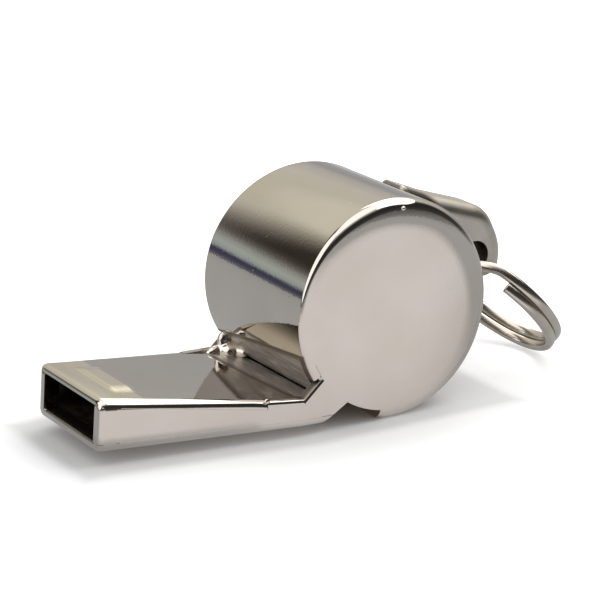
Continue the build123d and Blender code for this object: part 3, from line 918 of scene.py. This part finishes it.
def paper_floor():
    """Matt white paper, greyer close to the whistle, where it glows less: a painted shadow. In the metal it
    is a painted reflection: grey, and white by the mouthpiece.
    """
    material, tree = new_material("matt_white_paper")
    path = add(tree, "ShaderNodeLightPath")
    place = add(tree, "ShaderNodeTexCoord").outputs["Object"]
    spot = add(tree, "ShaderNodeSeparateXYZ", {"Vector": place})
    ahead = add(tree, "ShaderNodeMapRange", {
        "Value": spot.outputs["Y"], "From Min": patch_ahead[0] * MM, "From Max": patch_ahead[1] * MM,
    }, interpolation_type="SMOOTHSTEP")
    across = add(tree, "ShaderNodeVectorMath", {0: place, 1: leftward_aim}, operation="DOT_PRODUCT")
    leftward = add(tree, "ShaderNodeMapRange", {
        "Value": across.outputs["Value"], "From Min": patch_left[0] * MM, "From Max": patch_left[1] * MM,
    }, interpolation_type="SMOOTHSTEP")
    reach = add(tree, "ShaderNodeVectorMath", {0: place}, operation="LENGTH")
    near = add(tree, "ShaderNodeMapRange", {
        "Value": reach.outputs["Value"], "From Min": patch_near[0] * MM, "From Max": patch_near[1] * MM,
    }, interpolation_type="SMOOTHSTEP")
    lit = add(tree, "ShaderNodeMath", {
        0: ahead.outputs["Result"], 1: leftward.outputs["Result"],
    }, operation="MULTIPLY")
    bright = add(tree, "ShaderNodeMath", {
        0: lit.outputs["Value"], 1: near.outputs["Result"],
    }, operation="MULTIPLY")
    # Painted reflection: the floor as the metal sees it, grey with a pale patch by the mouthpiece, half of it
    # glowing
    seen = add(tree, "ShaderNodeValToRGB", {"Fac": bright.outputs["Value"]}, [
        (0.0, (0.52, 0.535, 0.55, 1)), (1.0, (0.98, 0.98, 1.0, 1)),
    ])
    paper = add(tree, "ShaderNodeBsdfDiffuse", {"Color": grey(0.93)})
    shaded = add(tree, "ShaderNodeBsdfDiffuse", {"Color": seen.outputs["Color"]})
    even = add(tree, "ShaderNodeEmission", {"Color": seen.outputs["Color"], "Strength": 1.0})
    mirrored = add(tree, "ShaderNodeMixShader", {
        0: 0.5, 1: shaded.outputs["BSDF"], 2: even.outputs["Emission"],
    })
    # Distance from the whistle's outline in plan: past its sides, its lip and its back
    half = add(tree, "ShaderNodeMapRange", {
        "Value": spot.outputs["X"], "From Min": lip_x * MM, "From Max": bend_x * MM,
        "To Min": mouth_half * MM, "To Max": half_width * MM,
    })
    side = add(tree, "ShaderNodeMath", {0: spot.outputs["Y"]}, operation="ABSOLUTE")
    past_side = add(tree, "ShaderNodeMath", {
        0: side.outputs["Value"], 1: half.outputs["Result"],
    }, operation="SUBTRACT")
    past_lip = add(tree, "ShaderNodeMath", {0: lip_x * MM, 1: spot.outputs["X"]}, operation="SUBTRACT")
    back = (barrel_x + barrel_radius) * MM
    past_back = add(tree, "ShaderNodeMath", {0: spot.outputs["X"], 1: back}, operation="SUBTRACT")
    past_ends = add(tree, "ShaderNodeMath", {
        0: past_lip.outputs["Value"], 1: past_back.outputs["Value"],
    }, operation="MAXIMUM")
    clear = add(tree, "ShaderNodeMath", {
        0: past_side.outputs["Value"], 1: past_ends.outputs["Value"],
    }, operation="MAXIMUM")
    # Painted shadow: the floor glows more away from the whistle, so it is darker close to it
    lifts = [
        add(tree, "ShaderNodeMapRange", {
            "Value": away, "From Min": first * MM, "From Max": last * MM, "To Max": most,
        }, interpolation_type="SMOOTHSTEP").outputs["Result"]
        for away, first, last, most in (
            (clear.outputs["Value"], *outline_lifts[0]),
            (clear.outputs["Value"], *outline_lifts[1]),
            (reach.outputs["Value"], *origin_lift),
        )
    ]
    lift = add(tree, "ShaderNodeMath", {0: lifts[0], 1: lifts[1]}, operation="ADD")
    whole = add(tree, "ShaderNodeMath", {0: lift.outputs["Value"], 1: lifts[2]}, operation="ADD")
    glow = add(tree, "ShaderNodeEmission", {"Color": grey(1), "Strength": whole.outputs["Value"]})
    both = add(tree, "ShaderNodeAddShader", {0: paper.outputs["BSDF"], 1: glow.outputs["Emission"]})
    plain = add(tree, "ShaderNodeMixShader", {
        0: path.outputs["Is Glossy Ray"], 1: paper.outputs["BSDF"], 2: mirrored.outputs["Shader"],
    })
    mix = add(tree, "ShaderNodeMixShader", {
        0: path.outputs["Is Camera Ray"], 1: plain.outputs["Shader"], 2: both.outputs["Shader"],
    })
    add(tree, "ShaderNodeOutputMaterial", {"Surface": mix.outputs["Shader"]})
    return material


def lay_floor():
    """Square of paper, floor_half each way from the origin, that the barrel stands on."""
    reach = floor_half * MM
    corners = [(-reach, -reach, 0), (reach, -reach, 0), (reach, reach, 0), (-reach, reach, 0)]
    sheet = bpy.data.meshes.new("paper_floor")
    sheet.from_pydata(corners, [], [(0, 1, 2, 3)])
    floor = bpy.data.objects.new("paper_floor", sheet)
    bpy.context.collection.objects.link(floor)
    sheet.materials.append(paper_floor())


lay_floor()


# The room as the metal shows it: stops of (height in degrees, linear colour)
back_wall = [
    (-10, (0.46, 0.46, 0.46)), (2, (0.42, 0.42, 0.43)), (8, (0.4, 0.4, 0.41)), (11, (0.49, 0.49, 0.48)),
    (15, (0.59, 0.58, 0.55)), (19.5, (0.66, 0.645, 0.6)), (23.5, (0.72, 0.71, 0.65)),
    (31, (0.74, 0.73, 0.625)), (35.5, (0.87, 0.855, 0.74)), (60, (0.87, 0.855, 0.74)),
]
doorway = [
    (-8, (0.48, 0.49, 0.49)), (-2.5, (0.36, 0.39, 0.4)), (1.3, (0.09, 0.09, 0.14)),
    (3.6, (0.065, 0.065, 0.125)), (5.6, (0.42, 0.5, 0.49)), (8.5, (0.5, 0.6, 0.59)),
    (11.5, (0.42, 0.45, 0.44)), (15, (0.17, 0.16, 0.155)),
    (17.5, (0.08, 0.073, 0.065)), (20, (0.048, 0.042, 0.034)), (50, (0.048, 0.042, 0.034)),
]
front_room = [
    (-12, (0.5, 0.5, 0.5)), (0, (0.3, 0.3, 0.3)), (6, (0.06, 0.06, 0.06)), (28, (0.03, 0.03, 0.03)),
    (44, (0.05, 0.05, 0.05)), (52, (0.35, 0.35, 0.35)), (58, (0.8, 0.8, 0.8)),
]
# Pale panels of the room: the middle of the left one, the cosines from its rim to its full white,
# the ceiling's heights for the same, and their radiance
panel_middle = (-0.7876, 0.0275, 0.6157)
panel_rim = (0.80, 0.84)
ceiling_rim = (0.875, 0.906)
panel_white = 1.75
# Bearings in degrees between which the wall gives way to the doorway,
# the y of a direction between which the front room comes in, and the grey that lights what is not glossy
door_bearing = (101, 120)
front_share = (0.25, -0.15)
soft_light = 0.66


def studio_world():
    """World: white to the camera, a plain grey for soft light, and a studio room in the metal.

    The room is read by a direction's height and bearing: a warm wall behind on the right, a dark doorway
    with a pale and a blue strip behind on the left, a dark room in front, and a white panel and ceiling.
    """
    world = bpy.data.worlds.new("studio_world")
    bpy.context.scene.world = world
    world.use_nodes = True
    tree = world.node_tree
    tree.nodes.clear()
    path = add(tree, "ShaderNodeLightPath")
    aim = add(tree, "ShaderNodeTexCoord").outputs["Generated"]
    part = add(tree, "ShaderNodeSeparateXYZ", {"Vector": aim})
    rise = add(tree, "ShaderNodeMath", {0: part.outputs["Z"]}, operation="ARCSINE")
    height = add(tree, "ShaderNodeMapRange", {
        "Value": rise.outputs["Value"], "From Min": math.radians(-90), "From Max": math.radians(90),
    }).outputs["Result"]
    bearing = add(tree, "ShaderNodeMath", {0: part.outputs["Y"], 1: part.outputs["X"]}, operation="ARCTAN2")
    wall, door, room = [
        add(tree, "ShaderNodeValToRGB", {"Fac": height}, [((e + 90) / 180, (*c, 1)) for e, c in stops])
        for stops in (back_wall, doorway, front_room)
    ]
    left = add(tree, "ShaderNodeMapRange", {
        "Value": bearing.outputs["Value"],
        "From Min": math.radians(door_bearing[0]), "From Max": math.radians(door_bearing[1]),
    }, interpolation_type="SMOOTHSTEP")
    back = add(tree, "ShaderNodeMixRGB", {
        "Fac": left.outputs["Result"], "Color1": wall.outputs["Color"], "Color2": door.outputs["Color"],
    })
    front = add(tree, "ShaderNodeMapRange", {
        "Value": part.outputs["Y"], "From Min": front_share[0], "From Max": front_share[1],
    }, interpolation_type="SMOOTHSTEP")
    around = add(tree, "ShaderNodeMixRGB", {
        "Fac": front.outputs["Result"], "Color1": back.outputs["Color"], "Color2": room.outputs["Color"],
    })
    beside = add(tree, "ShaderNodeVectorMath", {0: aim, 1: panel_middle}, operation="DOT_PRODUCT")
    panel = add(tree, "ShaderNodeMapRange", {
        "Value": beside.outputs["Value"], "From Min": panel_rim[0], "From Max": panel_rim[1],
    }, interpolation_type="SMOOTHSTEP")
    ceiling = add(tree, "ShaderNodeMapRange", {
        "Value": part.outputs["Z"], "From Min": ceiling_rim[0], "From Max": ceiling_rim[1],
    }, interpolation_type="SMOOTHSTEP")
    pale = add(tree, "ShaderNodeMath", {
        0: panel.outputs["Result"], 1: ceiling.outputs["Result"],
    }, operation="MAXIMUM")
    lit = add(tree, "ShaderNodeMixRGB", {
        "Fac": pale.outputs["Value"], "Color1": around.outputs["Color"], "Color2": grey(panel_white),
    })
    soft = add(tree, "ShaderNodeMixRGB", {
        "Fac": path.outputs["Is Glossy Ray"], "Color1": grey(soft_light), "Color2": lit.outputs["Color"],
    })
    shown = add(tree, "ShaderNodeMixRGB", {
        "Fac": path.outputs["Is Camera Ray"], "Color1": soft.outputs["Color"], "Color2": grey(1),
    })
    sky = add(tree, "ShaderNodeBackground", {"Color": shown.outputs["Color"], "Strength": 1.0})
    add(tree, "ShaderNodeOutputWorld", {"Surface": sky.outputs["Background"]})


studio_world()


def softbox(name, aim_from, size, radiance):
    """Rectangular lamp at a place in mm, facing the whistle, that shows in the metal with that radiance."""
    lamp = bpy.data.lights.new(name, "AREA")
    lamp.shape = "RECTANGLE"
    lamp.size = size[0] * MM
    lamp.size_y = size[1] * MM
    lamp.energy = radiance * math.pi * lamp.size * lamp.size_y
    thing = bpy.data.objects.new(name, lamp)
    bpy.context.collection.objects.link(thing)
    spot = np.array(aim_from, float)
    back = spot / np.linalg.norm(spot)
    side = np.cross((0, 1, 0), back)
    side /= np.linalg.norm(side)
    up = np.cross(back, side)
    place = Matrix.Identity(4)
    for row in range(3):
        place[row][0] = side[row]
        place[row][1] = up[row]
        place[row][2] = back[row]
        place[row][3] = spot[row] * MM
    thing.matrix_world = place


softbox("softbox_overhead", (260, 78, 387), (250, 700), 2.3)

# Camera, at the photograph's place: its axes and lens come from the outlines of the barrel and the mouthpiece
camera_place = (-115.189, -185.07, 78.95)
camera_right = (0.8526, -0.5222, 0.0)
camera_down = (-0.1593, -0.26, -0.9524)
camera_ahead = (0.4976, 0.8122, -0.3048)
camera_sensor = 36.0
camera_lens = 152.1
camera_clip = 0.01

camera = bpy.data.cameras.new("camera")
camera.sensor_width = camera_sensor
camera.lens = camera_lens
camera.clip_start = camera_clip
camera_thing = bpy.data.objects.new("camera", camera)
bpy.context.collection.objects.link(camera_thing)
stand = Matrix.Identity(4)
for row in range(3):
    stand[row][0] = camera_right[row]
    stand[row][1] = -camera_down[row]
    stand[row][2] = -camera_ahead[row]
    stand[row][3] = camera_place[row] * MM
camera_thing.matrix_world = stand
bpy.context.scene.camera = camera_thing
bpy.context.scene.view_settings.view_transform = "Standard"
